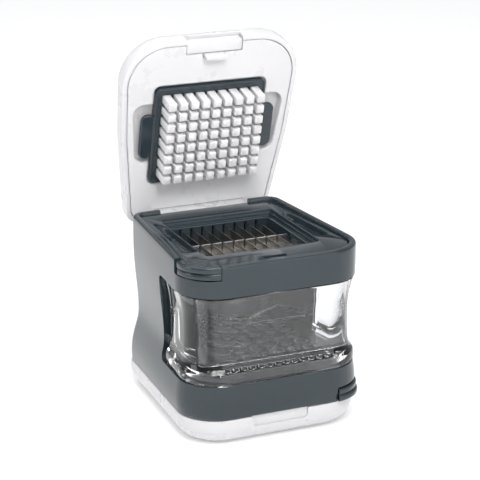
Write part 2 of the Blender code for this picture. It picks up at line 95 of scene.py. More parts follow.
def softbox(name, place, aim, size, watts, spread=180.0):
    """A rectangular lamp of the given size in metres, turned towards a point."""
    lamp = bpy.data.lights.new(name, "AREA")
    lamp.shape = "RECTANGLE"
    lamp.size, lamp.size_y = size
    lamp.energy = watts
    lamp.spread = math.radians(spread)
    holder = bpy.data.objects.new(name, lamp)
    scene.collection.objects.link(holder)
    holder.location = place
    holder.rotation_euler = (Vector(aim) - Vector(place)).to_track_quat("-Z", "Y").to_euler()


softbox("overhead", (0.0, 0.5, 2.2), (0.0, 0.2, 0.0), (2.4, 2.4), 24.0)
softbox("key", (-0.12, -0.55, 0.78), (0.0, 0.02, 0.09), (0.5, 0.5), 5.0)
softbox("left_fill", (-0.85, 0.10, 0.35), (0.0, 0.0, 0.08), (0.35, 0.6), 1.6)
softbox("front_fill", (0.35, -1.0, 0.35), (0.0, 0.0, 0.08), (0.8, 0.6), 2.6)
softbox("hinge_fill", (-0.05, -0.30, 0.33), (0.0, 0.045, 0.085), (0.10, 0.10), 0.016, 19.0)

# ---------------------------------------------------------------------------------------------
# The plastics. The body, the inserts and the comb are moulded in a slate grey, and the lid and the
# base cover in white. Both come from polished tools, so they shine, over a very fine orange peel.


def new_group(name, numbers, outputs):
    """An empty shader group, a vector and numbers in and numbers out, and its two end nodes."""
    group = bpy.data.node_groups.new(name, "ShaderNodeTree")
    group.interface.new_socket("Vector", in_out="INPUT", socket_type="NodeSocketVector")
    for label, start in numbers.items():
        socket = group.interface.new_socket(label, in_out="INPUT", socket_type="NodeSocketFloat")
        socket.default_value = start
    for label in outputs:
        group.interface.new_socket(label, in_out="OUTPUT", socket_type="NodeSocketFloat")
    return group, group.nodes.new("NodeGroupInput"), group.nodes.new("NodeGroupOutput")


def noise(tree, vector, size, detail=2.0, roughness=0.5):
    """A noise whose grains are about this many metres across."""
    node = tree.nodes.new("ShaderNodeTexNoise")
    node.inputs["Scale"].default_value = 1.0 / size
    node.inputs["Detail"].default_value = detail
    node.inputs["Roughness"].default_value = roughness
    tree.links.new(vector, node.inputs["Vector"])
    return node.outputs["Fac"]


def feed(tree, slot, value):
    """Fills an input with a value, or links a socket to it."""
    if isinstance(value, bpy.types.NodeSocket):
        tree.links.new(value, slot)
    else:
        slot.default_value = value


def arithmetic(tree, operation, *values):
    """A Math node fed by numbers or sockets."""
    node = tree.nodes.new("ShaderNodeMath")
    node.operation = operation
    for slot, value in zip(node.inputs, values):
        feed(tree, slot, value)
    return node.outputs[0]


def remap(tree, value, low, high, new_low, new_high):
    """A value stretched from one range to another."""
    node = tree.nodes.new("ShaderNodeMapRange")
    for slot, number in zip(node.inputs, (value, low, high, new_low, new_high)):
        feed(tree, slot, number)
    return node.outputs[0]


def moulded_skin():
    """Flow marks in the colour, handling haze and small scuffs in the gloss, and a fine peel."""
    outputs = ("Flow", "Roughness", "Height")
    group, start, end = new_group("moulded_skin", {"Gloss": 0.3, "Haze": 0.06}, outputs)
    place = start.outputs["Vector"]
    flow = noise(group, place, 0.022, 3.0, 0.55)
    haze = noise(group, place, 0.009, 4.0, 0.6)
    peel = noise(group, place, 0.0012, 2.0, 0.5)
    speck = noise(group, place, 0.0011, 1.0, 0.5)
    group.links.new(remap(group, flow, 0.3, 0.7, 0.0, 1.0), end.inputs["Flow"])
    handled = remap(group, haze, 0.35, 0.75, 0.0, 1.0)
    rough = arithmetic(group, "MULTIPLY_ADD", handled, start.outputs["Haze"], start.outputs["Gloss"])
    scuff = remap(group, speck, 0.73, 0.79, 0.0, 1.5)
    rougher = arithmetic(group, "MULTIPLY_ADD", scuff, start.outputs["Haze"], rough)
    group.links.new(rougher, end.inputs["Roughness"])
    group.links.new(peel, end.inputs["Height"])
    return group


skin_group = moulded_skin()


def use_group(tree, group, **inputs):
    """A shader group put to use, with its inputs filled by name."""
    node = tree.nodes.new("ShaderNodeGroup")
    node.node_tree = group
    for label, value in inputs.items():
        feed(tree, node.inputs[label], value)
    return node


def new_material(name):
    """A material, its node tree, its Principled shader and the piece's own coordinates."""
    made = bpy.data.materials.new(name)
    made.use_nodes = True
    tree = made.node_tree
    where = tree.nodes.new("ShaderNodeTexCoord").outputs["Object"]
    return made, tree, tree.nodes["Principled BSDF"], where


def raise_surface(tree, shader, height, depth, edge=0.0):
    """Feeds a height into the shader's normal, over edges softened by the given radius."""
    bump = tree.nodes.new("ShaderNodeBump")
    bump.inputs["Distance"].default_value = depth
    bump.inputs["Strength"].default_value = 1.0
    tree.links.new(height, bump.inputs["Height"])
    if edge:
        soft = tree.nodes.new("ShaderNodeBevel")
        soft.samples = 6
        soft.inputs["Radius"].default_value = edge
        tree.links.new(soft.outputs["Normal"], bump.inputs["Normal"])
    tree.links.new(bump.outputs["Normal"], shader.inputs["Normal"])


def two_shades(tree, shader, dark, light, share):
    """A base colour that drifts between two close shades."""
    tint = tree.nodes.new("ShaderNodeMix")
    tint.data_type = "RGBA"
    tint.inputs[6].default_value = (*dark, 1.0)
    tint.inputs[7].default_value = (*light, 1.0)
    tree.links.new(share, tint.inputs[0])
    tree.links.new(tint.outputs[2], shader.inputs["Base Color"])


PEEL_DEPTH = 0.000002


def moulded(name, light, dark, gloss, haze, edge):
    """A moulded plastic whose colour drifts between two close shades."""
    made, tree, shader, where = new_material(name)
    skin = use_group(tree, skin_group, Vector=where, Gloss=gloss, Haze=haze)
    two_shades(tree, shader, dark, light, skin.outputs["Flow"])
    tree.links.new(skin.outputs["Roughness"], shader.inputs["Roughness"])
    raise_surface(tree, shader, skin.outputs["Height"], PEEL_DEPTH, edge)
    shader.inputs["IOR"].default_value = 1.5
    return made


slate_plastic = moulded("slate_plastic", (0.022, 0.033, 0.040), (0.019, 0.029, 0.036), 0.09, 0.06, 0.0005)
white_plastic = moulded("white_plastic", (0.64, 0.635, 0.645), (0.625, 0.62, 0.63), 0.27, 0.03, 0.0)

# ---------------------------------------------------------------------------------------------
# The body: one tall slate moulding, wide and round in front and narrower at the back, drawn in at
# the waist. Its window is open in front and on both sides, and it carries both hinges behind.

MM = 0.001
ARC = 14
PLAY = 0.3

body_low, body_high = (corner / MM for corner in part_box("body_shell"))
BODY_FOOT = body_low.z
BODY_RIM = body_high.z
FRONT = -43.4
BACK = 39.8
FRONT_WIDE = 40.6
RIM_BACK_WIDE = 33.8
FOOT_BACK_WIDE = 36.2
FRONT_ROUND = 17.0
BACK_ROUND = 6.0
WAIST_AT = 35.0
WAIST_DEEP = 2.6
INSERT_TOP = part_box("slicer_frame")[1].z / MM - 0.9

lid_joint = next(j for j in frame["joints"] if j["name"] == "lid_hinge")
base_joint = next(j for j in frame["joints"] if j["name"] == "base_cover_hinge")
LID_AXIS = tuple(Vector(lid_joint["pos_m"][1:]) / MM)
BASE_AXIS = tuple(Vector(base_joint["pos_m"][1:]) / MM)
LID_OPEN = Matrix.Translation((0.0, *LID_AXIS)) @ Matrix.Rotation(
    math.radians(lid_joint["range_deg"][0]), 4, "X"
) @ Matrix.Translation((0.0, -LID_AXIS[0], -LID_AXIS[1]))


def inset_corners(corners, inset):
    """Moves each side of a convex polygon inward. The corners run anticlockwise."""
    moved = []
    for i, here in enumerate(corners):
        before, here, after = Vector(corners[i - 1]), Vector(here), Vector(corners[(i + 1) % len(corners)])
        first, second = (here - before).normalized(), (after - here).normalized()
        normals = Vector((-first.y, first.x)) + Vector((-second.y, second.x))
        moved.append(here + normals * inset / (0.5 * normals.length_squared))
    return moved


def rounded(corners, radii, steps=ARC):
    """A polygon with each corner turned into an arc that meets both of its sides."""
    points = []
    for i, here in enumerate(corners):
        before, here, after = Vector(corners[i - 1]), Vector(here), Vector(corners[(i + 1) % len(corners)])
        back, ahead = (before - here).normalized(), (after - here).normalized()
        half = 0.5 * back.angle(ahead)
        centre = here + (back + ahead).normalized() * radii[i] / math.sin(half)
        start = here + back * radii[i] / math.tan(half) - centre
        end = here + ahead * radii[i] / math.tan(half) - centre
        turn = start.angle_signed(end)
        points += [centre + Matrix.Rotation(-turn * k / steps, 2) @ start for k in range(steps + 1)]
    return points


def loft(rings, ring_shape=False):
    """A closed solid through a list of (outline, height). A ring shape joins the last to the first."""
    shape = bmesh.new()
    loops = [[shape.verts.new((p[0], p[1], z)) for p in outline] for outline, z in rings]
    pairs = list(zip(loops, loops[1:]))
    if ring_shape:
        pairs.append((loops[-1], loops[0]))
    else:
        shape.faces.new(loops[0])
        shape.faces.new(loops[-1])
    for low, high in pairs:
        for i in range(len(low)):
            j = (i + 1) % len(low)
            shape.faces.new((low[i], low[j], high[j], high[i]))
    return shape


def rectangle(x, y):
    """The four corners between pairs of limits, anticlockwise."""
    return [(x[0], y[0]), (x[1], y[0]), (x[1], y[1]), (x[0], y[1])]


def block(x, y, z, radius=0.0, steps=6):
    """A block between pairs of limits, with its upright edges rounded when a radius is given."""
    corners = rectangle(x, y)
    outline = rounded(corners, [radius] * 4, steps) if radius else corners
    return loft([(outline, z[0]), (outline, z[1])])


def stacked(corners, radius, levels, steps=ARC, smallest=0.0):
    """Rings for a loft: a round-cornered polygon moved inward at each (inset, height) level."""
    rings = []
    for inset, height in levels:
        radii = [max(smallest, radius - inset)] * len(corners)
        rings.append((rounded(inset_corners(corners, inset), radii, steps), height))
    return rings


def soft_block(x, y, z, radius, edge, steps=6):
    """A block whose upright edges and whose top and bottom edges are all rounded."""
    turns = [0.5 * math.pi * k / 4 for k in range(5)]
    rings = [(edge * (1.0 - math.sin(t)), z[0] + edge * (1.0 - math.cos(t))) for t in turns]
    rings += [(edge * (1.0 - math.cos(t)), z[1] - edge * (1.0 - math.sin(t))) for t in turns]
    return loft(stacked(rectangle(x, y), radius, rings, steps, 0.12))


def rod(radius, x, centre, sides=48, edge=0.0):
    """A round bar along X between two limits, centred on (y, z), with its ends eased by edge."""
    shape = bmesh.new()
    stations = [(x[0], radius - edge), (x[0] + edge, radius), (x[1] - edge, radius), (x[1], radius - edge)]
    stations = stations if edge else [(x[0], radius), (x[1], radius)]
    turns = [2.0 * math.pi * k / sides for k in range(sides)]
    circle = [(math.cos(turn), math.sin(turn)) for turn in turns]
    loops = []
    for along, r in stations:
        loops.append([shape.verts.new((along, centre[0] + r * c, centre[1] + r * s)) for c, s in circle])
    shape.faces.new(loops[0])
    shape.faces.new(loops[-1])
    for low, high in zip(loops, loops[1:]):
        for i in range(sides):
            j = (i + 1) % sides
            shape.faces.new((low[i], low[j], high[j], high[i]))
    return shape


def join(*shapes):
    """One bmesh that holds several solids, which don't touch."""
    whole = bmesh.new()
    for shape in shapes:
        mesh = bpy.data.meshes.new("loose")
        shape.to_mesh(mesh)
        shape.free()
        whole.from_mesh(mesh)
        bpy.data.meshes.remove(mesh)
    return whole


def turned(shape, matrix):
    """The solid after a move, a turn or a stretch."""
    bmesh.ops.transform(shape, matrix=matrix, verts=shape.verts)
    return shape


def mirrored(shape):
    """The same solid on the other side of the object."""
    return turned(shape.copy(), Matrix.Scale(-1.0, 4, (1.0, 0.0, 0.0)))


def as_object(name, shape):
    """An object made of a solid, with its faces pointing outward."""
    bmesh.ops.recalc_face_normals(shape, faces=shape.faces)
    mesh = bpy.data.meshes.new(name)
    shape.to_mesh(mesh)
    shape.free()
    made = bpy.data.objects.new(name, mesh)
    scene.collection.objects.link(made)
    return made


def carve(piece, shape, operation="DIFFERENCE"):
    """Cuts a solid out of the piece, or joins it on."""
    tool = as_object("tool", shape)
    step = piece.modifiers.new(operation.lower(), "BOOLEAN")
    step.operation = operation
    step.object = tool
    graph = bpy.context.evaluated_depsgraph_get()
    cut = bpy.data.meshes.new_from_object(piece.evaluated_get(graph), depsgraph=graph)
    piece.modifiers.clear()
    piece.data = cut
    bpy.data.objects.remove(tool)
    return piece


def settle(piece, finish, body, nodes, place=Matrix.Identity(4), sharp=32.0):
    """The last step of every piece: metres, shading, finish, body and the nodes it stands for."""
    piece.data.transform(Matrix.Scale(MM, 4) @ place)
    piece.data.polygons.foreach_set("use_smooth", [True] * len(piece.data.polygons))
    piece.data.set_sharp_from_angle(angle=math.radians(sharp))
    piece.data.materials.clear()
    piece.data.materials.append(finish)
    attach(piece, body)
    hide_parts(*nodes)
    return piece


def waist(z):
    """How far the sides are drawn in at this height."""
    return WAIST_DEEP * math.exp(-(((z - WAIST_AT) / (20.0 if z > WAIST_AT else 9.5)) ** 2))


def body_corners(z, inset=0.0):
    """The corners of the body's outline at this height, before they are rounded."""
    share = (z - BODY_FOOT) / (BODY_RIM - BODY_FOOT)
    tuck = 1.2 * max(0.0, (20.0 - z) / (20.0 - BODY_FOOT)) ** 2
    front = FRONT_WIDE - waist(z) - tuck
    back = FOOT_BACK_WIDE + (RIM_BACK_WIDE - FOOT_BACK_WIDE) * share - waist(z) - 0.5 * tuck
    front_y, back_y = FRONT + tuck, BACK - 0.5 * waist(z)
    return inset_corners([(-front, front_y), (front, front_y), (back, back_y), (-back, back_y)], inset)


def body_outline(z, inset=0.0):
    """The body's rounded outline at this height, moved inward by the inset."""
    front = max(1.0, FRONT_ROUND - inset)
    back = max(1.0, BACK_ROUND - 0.8 * inset)
    return rounded(body_corners(z, inset), [front, front, back, back])


def seat_outline(inset):
    """The outline that both inserts and the seats under them share."""
    front = FRONT_ROUND - inset
    return rounded(body_corners(INSERT_TOP, inset), [front, front, 3.0, 3.0])


RIM_WALL = 2.9
LEDGE_WALL = 4.8
LEDGE_Z = 74.2
LUG_END = 26.8
LUG_START = 21.2
BARREL = 3.0
WIRE = 1.0
WIRE_HOLE = 1.3
LEAF_END = 20.5
LEAF_GAP = (-20.8, 20.8)
HOOK_WIDE = (-4.6, 4.6)
HOOK_SLIT = (-4.9, 4.9)
WINDOW = (26.5, 64.0)
WINDOW_REAR = -3.0
RIM_SOFT = 1.1

WALL_FROM = 13.0
WALL_RINGS = 35
RIM_RINGS = 5
wall_span = BODY_RIM - RIM_SOFT - WALL_FROM
wall_heights = [WALL_FROM + wall_span * k / (WALL_RINGS - 1) for k in range(WALL_RINGS)]
body_rings = [(body_outline(BODY_FOOT, 0.25), BODY_FOOT), (body_outline(BODY_FOOT + 0.3), BODY_FOOT + 0.3)]
body_rings += [(body_outline(z), z) for z in wall_heights]
for k in range(1, RIM_RINGS + 1):
    lean = 0.5 * math.pi * k / RIM_RINGS
    inward = RIM_SOFT * (1.0 - math.cos(lean))
    body_rings.append((body_outline(BODY_RIM, inward), BODY_RIM - RIM_SOFT * (1.0 - math.sin(lean))))
body = as_object("body", loft(body_rings))

# The store for the second insert, the bay behind the window, and the stepped seat under the first.
carve(body, loft([(seat_outline(RIM_WALL), BODY_FOOT - 2.0), (seat_outline(RIM_WALL), 26.7)]))
bay = rounded([(-33.0, -20.0), (33.0, -20.0), (28.9, 35.4), (-28.9, 35.4)], [1.0, 1.0, 4.0, 4.0])
carve(body, loft([(bay, 26.4), (bay, 63.3)]))
seat_steps = [(LEDGE_WALL, 62.9), (LEDGE_WALL, LEDGE_Z), (RIM_WALL, LEDGE_Z), (RIM_WALL, BODY_RIM - 0.7)]
seat_steps += [(RIM_WALL - s, BODY_RIM + up) for s, up in ((0.2, -0.25), (0.7, 0.0), (0.7, 2.0))]
carve(body, loft([(seat_outline(inset), z) for inset, z in seat_steps]))

# The window, drawn in side view with round corners at its rear.
window = rounded(rectangle((-60.0, WINDOW_REAR), WINDOW), [1.0, 3.0, 3.0, 1.0], 8)
sideways = Matrix(((0, 0, 1), (1, 0, 0), (0, 1, 0))).to_4x4()
carve(body, turned(loft([(window, -50.0), (window, 50.0)]), sideways))

# Two lugs for each hinge, the notches for the leaves between them, and the pins' holes.
for axis, low, high in ((LID_AXIS, 68.2, 80.0), (BASE_AXIS, 9.0, 20.9)):
    lugs = [rod(BARREL, x, axis, 40, 0.5) for x in ((-LUG_END, -LUG_START), (LUG_START, LUG_END))]
    carve(body, join(*lugs), "UNION")
    carve(body, block((-20.9, 20.9), (35.9, 46.0), (low, high)))
    carve(body, rod(WIRE_HOLE, (-LUG_END + 1.4, LUG_END - 1.4), axis, 32))

# The openings at one front corner above and the other below, where the inserts' grips show.
carve(body, block((-46.0, -25.8), (-48.0, -25.3), (71.4, 80.0)))
carve(body, block((25.8, 46.0), (-48.0, -25.3), (9.0, 17.9)))
settle(body, slate_plastic, "body", ["body_shell"])

# The deck: a plain plate welded in under the drawer bay.
deck_low, deck_high = (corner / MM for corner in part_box("container_deck"))
deck = as_object("deck", loft([(seat_outline(RIM_WALL + PLAY), z) for z in (deck_low.z, deck_high.z)]))
settle(deck, slate_plastic, "body", ["container_deck"])

# ---------------------------------------------------------------------------------------------
# The steel: thin stainless strip for the blades, ground lengthwise and honed at one edge, and
# drawn wire for the two hinge pins.


def ground_lines():
    """Fine grinding marks, over a broader drift from one shade to the other."""
    outputs = ("Tone", "Roughness", "Height")
    group, start, end = new_group("ground_lines", {"Gloss": 0.2}, outputs)
    fine = noise(group, start.outputs["Vector"], 0.00012, 3.0, 0.6)
    broad = noise(group, start.outputs["Vector"], 0.0016, 2.0, 0.5)
    group.links.new(remap(group, broad, 0.3, 0.7, 0.0, 1.0), end.inputs["Tone"])
    rough = arithmetic(group, "MULTIPLY_ADD", fine, 0.14, start.outputs["Gloss"])
    group.links.new(rough, end.inputs["Roughness"])
    group.links.new(fine, end.inputs["Height"])
    return group


ground_group = ground_lines()
GRIND_DEPTH = 0.000002


def steel(name, light, dark, gloss, stretch):
    """Stainless steel whose marks run along the axis that stretch shrinks."""
    made, tree, shader, where = new_material(name)
    along = tree.nodes.new("ShaderNodeMapping")
    along.inputs["Scale"].default_value = stretch
    tree.links.new(where, along.inputs["Vector"])
    lines = use_group(tree, ground_group, Vector=along.outputs["Vector"], Gloss=gloss)
    two_shades(tree, shader, dark, light, lines.outputs["Tone"])
    tree.links.new(lines.outputs["Roughness"], shader.inputs["Roughness"])
    shader.inputs["Metallic"].default_value = 1.0
    raise_surface(tree, shader, lines.outputs["Height"], GRIND_DEPTH)
    return made


blade_steel = steel("blade_steel", (0.63, 0.60, 0.56), (0.50, 0.47, 0.44), 0.16, (1.0, 0.05, 1.0))
cross_steel = steel("cross_blade_steel", (0.88, 0.87, 0.85), (0.80, 0.79, 0.77), 0.16, (0.05, 1.0, 1.0))

for name, axis in (("lid_hinge_pin", LID_AXIS), ("base_hinge_pin", BASE_AXIS)):
    wire = as_object(name + "_wire", rod(WIRE, (-LUG_END + 1.7, LUG_END - 1.7), axis, 40, 0.25))
    settle(wire, cross_steel, "body", [name])

# ---------------------------------------------------------------------------------------------
# The lid: a white pillow-shaped cover with a flat panel snapped into it. A fine seam runs round
# the panel. The thumb block and the hook sit at its front edge, and the hinge leaf behind.

LID_FACE = BODY_RIM + PLAY
LID_TOP = LID_FACE + 12.6
SEAM = 2.4


def lid_outline(inset=0.0):
    """The lid's outline: round in front, with slightly bowed sides that run in to the hinge."""
    right = [(40.7, FRONT), (38.2, 2.0), (33.0, 42.4)]
    corners = right + [(-x, y) for x, y in reversed(right)]
    front, back = max(3.0, 19.0 - 0.8 * inset), max(2.0, 6.0 - 0.5 * inset)
    return rounded(inset_corners(corners, inset), [front, 120.0, back, back, 120.0, front])


def pillow(outline, start, end, edge, reach, steps=10):
    """Rings of a soft edge that runs inward from a wall at one height to a face at another."""
    rings = []
    for k in range(1, steps + 1):
        angle = 0.5 * math.pi * k / steps
        inset = edge + reach * (1.0 - math.cos(angle))
        rings.append((outline(inset), start + (end - start) * math.sin(angle)))
    return rings


def lid_gaps(piece, low):
    """The gaps for the thumb block in front and the hinge leaf behind."""
    carve(piece, block((-12.7, 12.7), (-46.0, -36.9), (low, 82.0)))
    carve(piece, block(LEAF_GAP, (36.4, 45.0), (low, 83.5)))


seam_wall = SEAM - PLAY
inner_steps = [(seam_wall + 4.0, 87.4), (seam_wall + 0.6, 85.6), (seam_wall, 84.0)]
inner_steps += [(seam_wall, LID_FACE + 0.2), (seam_wall - 0.2, LID_FACE)]
outer_steps = [(0.5, LID_FACE), (0.15, LID_FACE + 0.15), (0.0, LID_FACE + 0.6), (0.0, 83.0)]
lid_wall = [(lid_outline(inset), z) for inset, z in inner_steps + outer_steps]
lid_crown = pillow(lid_outline, 83.0, LID_TOP - 0.6, 0.0, 9.0) + [(lid_outline(22.0), LID_TOP)]
lid_cover = as_object("lid_cover", loft(lid_wall + lid_crown))
lid_gaps(lid_cover, LID_FACE - 2.0)
settle(lid_cover, white_plastic, "lid", ["lid_shell"], LID_OPEN)


def pair(corners, radius, steps):
    """A round-cornered prism through (inset, height) steps on the right and its mirror on the left."""
    right = loft(stacked(corners, radius, steps, 8, 0.4))
    return right, mirrored(right)


panel_edge = [(SEAM + 0.25, LID_FACE), (SEAM, LID_FACE + 0.25), (SEAM, 83.6)]
lid_panel = as_object("lid_panel", loft([(lid_outline(inset), z) for inset, z in panel_edge]))
COMB_X, COMB_Y = 24.9, 22.6
COMB_FACE = LID_FACE - 1.0
low = LID_FACE - 2.0
comb_rim = [(-0.55, low), (-0.55, LID_FACE), (-0.2, LID_FACE + 0.3), (0.0, 79.4)]
comb_bed = rectangle((-COMB_X - 0.6, COMB_X + 0.6), (-COMB_Y - 0.6, COMB_Y + 0.6))
carve(lid_panel, loft(stacked(comb_bed, 3.2, comb_rim, 8)))
carve(lid_panel, block((-24.3, 24.3), (-21.8, 21.8), (low, 82.3)))
finger_corners = [(20.0, -15.0), (34.2, -15.0), (31.6, 12.6), (20.0, 12.6)]
finger_steps = [(-0.5, low), (-0.5, LID_FACE), (-0.15, LID_FACE + 0.3), (0.0, LID_FACE + 0.8), (0.1, 80.4)]
finger_steps += [(0.5, 81.0), (1.2, 81.2)]
carve(lid_panel, join(*pair(finger_corners, 4.5, finger_steps)))
lid_gaps(lid_panel, low)
carve(lid_panel, block(HOOK_SLIT, (-38.0, -34.8), (low, 82.0)))
settle(lid_panel, white_plastic, "lid", ["lid_liner"], LID_OPEN)

thumb_shape = soft_block((-12.4, 12.4), (-42.2, -37.2), (LID_FACE, 81.7), 0.9, 0.35)
thumb_block = as_object("lid_thumb_block", thumb_shape)
settle(thumb_block, white_plastic, "lid", ["lid_latch_block"], LID_OPEN)
hook = as_object("lid_hook", soft_block(HOOK_WIDE, (-36.9, -35.1), (74.2, 81.7), 0.5, 0.35))
settle(hook, white_plastic, "lid", ["lid_latch_hook"], LID_OPEN)


def hinge_leaf(name, node, axis, reach, body_name, place):
    """A white leg that ends in a barrel round the hinge pin."""
    low, high = sorted((axis[1], reach))
    leaf = as_object(name, soft_block((-LEAF_END, LEAF_END), (36.8, 41.6), (low, high), 0.3, 0.3))
    carve(leaf, rod(BARREL, (-LEAF_END, LEAF_END), axis, 48, 0.3), "UNION")
    carve(leaf, rod(WIRE_HOLE, (-22.0, 22.0), axis, 32))
    settle(leaf, white_plastic, body_name, [node], place)


hinge_leaf("lid_hinge_leaf", "lid_hinge_block", LID_AXIS, 83.2, "lid", LID_OPEN)

# ---------------------------------------------------------------------------------------------
# The pusher: square white pins moulded on one plate, each with eased edges and a rounded tip.
# They press the vegetable through the blades.

PITCH = 5.0
COLUMNS = 9
ROWS = 8
PIN_WIDTH = 3.5
PIN_TIP = 68.8
TIP_STEPS = ((0.75, 0.955), (0.25, 0.93))
PIN_ROOT = 79.9


def node_tree_for(name, counts, sizes):
    """A geometry tree whose inputs are counts and sizes, with one geometry output."""
    tree = bpy.data.node_groups.new(name, "GeometryNodeTree")
    ids = {}
    for labels, kind in ((counts, "NodeSocketInt"), (sizes, "NodeSocketFloat")):
        for label in labels:
            socket = tree.interface.new_socket(label, in_out="INPUT", socket_type=kind)
            ids[label] = socket.identifier
    tree.interface.new_socket("Geometry", in_out="OUTPUT", socket_type="NodeSocketGeometry")
    return tree, ids, tree.nodes.new("NodeGroupInput"), tree.nodes.new("NodeGroupOutput")


def grow(tree, kind, mode=None, **inputs):
    """Adds a geometry node and fills its inputs, by name, with values or sockets."""
    node = tree.nodes.new("GeometryNode" + kind)
    if mode:
        node.mode = mode
    for label, value in inputs.items():
        feed(tree, node.inputs[label.replace("_", " ")], value)
    return node


def close_tree(tree, geometry, finish, end):
    """Realises the copies, gives them their finish and hands them out."""
    real = grow(tree, "RealizeInstances", Geometry=geometry)
    paint = grow(tree, "SetMaterial", Geometry=real.outputs[0], Material=finish)
    tree.links.new(paint.outputs[0], end.inputs[0])


def grown(name, tree, ids, values):
    """Runs a geometry tree on an empty mesh and keeps its result as a plain mesh."""
    holder = bpy.data.objects.new(name, bpy.data.meshes.new(name))
    scene.collection.objects.link(holder)
    step = holder.modifiers.new("grow", "NODES")
    step.node_group = tree
    for label, value in values.items():
        step[ids[label]] = value
    graph = bpy.context.evaluated_depsgraph_get()
    plain = bpy.data.meshes.new_from_object(holder.evaluated_get(graph), depsgraph=graph)
    holder.modifiers.clear()
    holder.data = plain
    return holder


def vector_of(tree, x=0.0, y=0.0, z=0.0):
    """A vector of three numbers or sockets."""
    node = tree.nodes.new("ShaderNodeCombineXYZ")
    for slot, value in zip(node.inputs, (x, y, z)):
        feed(tree, slot, value)
    return node.outputs[0]


def grid_spots(tree, give, across, along, middle):
    """Points in the given columns and rows, with the named pitches, centred on a place."""
    gaps = [arithmetic(tree, "SUBTRACT", give[label], 1.0) for label in ("Columns", "Rows")]
    wide = [arithmetic(tree, "MULTIPLY", gap, give[pitch]) for gap, pitch in zip(gaps, (across, along))]
    counts = {"Vertices_X": give["Columns"], "Vertices_Y": give["Rows"]}
    grid = grow(tree, "MeshGrid", Size_X=wide[0], Size_Y=wide[1], **counts)
    return grow(tree, "Transform", Geometry=grid.outputs[0], Translation=middle).outputs[0]


def pin_tree():
    """One rounded square pin, drawn downward from its root, set on a grid of columns and rows."""
    sizes = ("Pitch", "Width", "Length", "Edge", "Tip", "Height")
    tree, ids, start, end = node_tree_for("pin_grid", ("Columns", "Rows"), sizes)
    give = start.outputs
    square = grow(tree, "CurvePrimitiveQuadrilateral", Width=give["Width"], Height=give["Width"])
    soft = grow(tree, "FilletCurve", "POLY", Curve=square.outputs[0], Radius=give["Edge"], Count=3)
    face = grow(tree, "FillCurve", "NGONS", Curve=soft.outputs[0])
    root = grow(tree, "FlipFaces", Mesh=face.outputs[0])
    down = vector_of(tree, 0.0, 0.0, -1.0)
    shank = grow(tree, "ExtrudeMesh", Mesh=root.outputs[0], Offset=down, Offset_Scale=give["Length"])
    tip, top = shank.outputs["Mesh"], shank.outputs["Top"]
    for reach, shrink in TIP_STEPS:
        part = arithmetic(tree, "MULTIPLY", give["Tip"], reach)
        step = grow(tree, "ExtrudeMesh", Mesh=tip, Selection=top, Offset=down, Offset_Scale=part)
        top = step.outputs["Top"]
        narrow = grow(tree, "ScaleElements", Geometry=step.outputs["Mesh"], Selection=top, Scale=shrink)
        tip = narrow.outputs[0]
    both = grow(tree, "JoinGeometry")
    tree.links.new(tip, both.inputs[0])
    tree.links.new(face.outputs[0], both.inputs[0])
    whole = grow(tree, "MergeByDistance", Geometry=both.outputs[0], Distance=0.001)
    spots = grid_spots(tree, give, "Pitch", "Pitch", vector_of(tree, 0.0, 0.0, give["Height"]))
    rows = grow(tree, "InstanceOnPoints", Points=spots, Instance=whole.outputs[0])
    close_tree(tree, rows.outputs[0], white_plastic, end)
    return tree, ids


pins_tree, pins_ids = pin_tree()
pin_values = {"Columns": COLUMNS, "Rows": ROWS, "Pitch": PITCH, "Width": PIN_WIDTH, "Edge": 0.35, "Tip": 0.45}
pin_values["Height"] = PIN_ROOT
pin_values["Length"] = PIN_ROOT - PIN_TIP - pin_values["Tip"]
pins = grown("pusher_pins_set", pins_tree, pins_ids, pin_values)
settle(pins, white_plastic, "lid", ["pusher_pins"], LID_OPEN, 40.0)
plate = as_object("pusher_plate", soft_block((-24.0, 24.0), (-21.5, 21.5), (79.7, 82.0), 1.0, 0.2))
settle(plate, white_plastic, "lid", [], LID_OPEN)

# ---------------------------------------------------------------------------------------------
# The cleaning comb: a slate plate with a hole for every pin and a grip on each side. It is pulled
# off over the pins and takes what sticks between them along. A low border runs round its face.

EAR_X, EAR_Y = 30.4, 10.4
COMB_THICK = 2.3
COMB_ROUND = 2.4


def comb_plate():
    """The plate, with the cells of the pin pattern left open and their walls drawn up."""
    def cuts(count, limit):
        middles = [(k - 0.5 * (count - 1)) * PITCH for k in range(count)]
        hole = 0.5 * PIN_WIDTH + PLAY
        return [-limit] + [m + side for m in middles for side in (-hole, hole)] + [limit]

    xs, ys = cuts(COLUMNS, COMB_X), cuts(ROWS, COMB_Y)
    shape = bmesh.new()
    verts = [[shape.verts.new((x, y, COMB_FACE)) for y in ys] for x in xs]
    for i in range(len(xs) - 1):
        for j in range(len(ys) - 1):
            if not (i % 2 and j % 2):
                shape.faces.new((verts[i][j], verts[i + 1][j], verts[i + 1][j + 1], verts[i][j + 1]))
    sheet = list(shape.faces)
    made = bmesh.ops.extrude_face_region(shape, geom=sheet, use_keep_orig=True)["geom"]
    lifted = [part for part in made if isinstance(part, bmesh.types.BMVert)]
    bmesh.ops.translate(shape, verts=lifted, vec=(0.0, 0.0, COMB_THICK))
    upright = [e for e in shape.edges if abs(e.verts[0].co.z - e.verts[1].co.z) > 1.0]
    corners = [e for e in upright if abs(e.verts[0].co.x) > 24.0 and abs(e.verts[0].co.y) > 22.0]
    bmesh.ops.bevel(shape, geom=corners, offset=COMB_ROUND, segments=8, profile=0.5, affect="EDGES")
    return shape


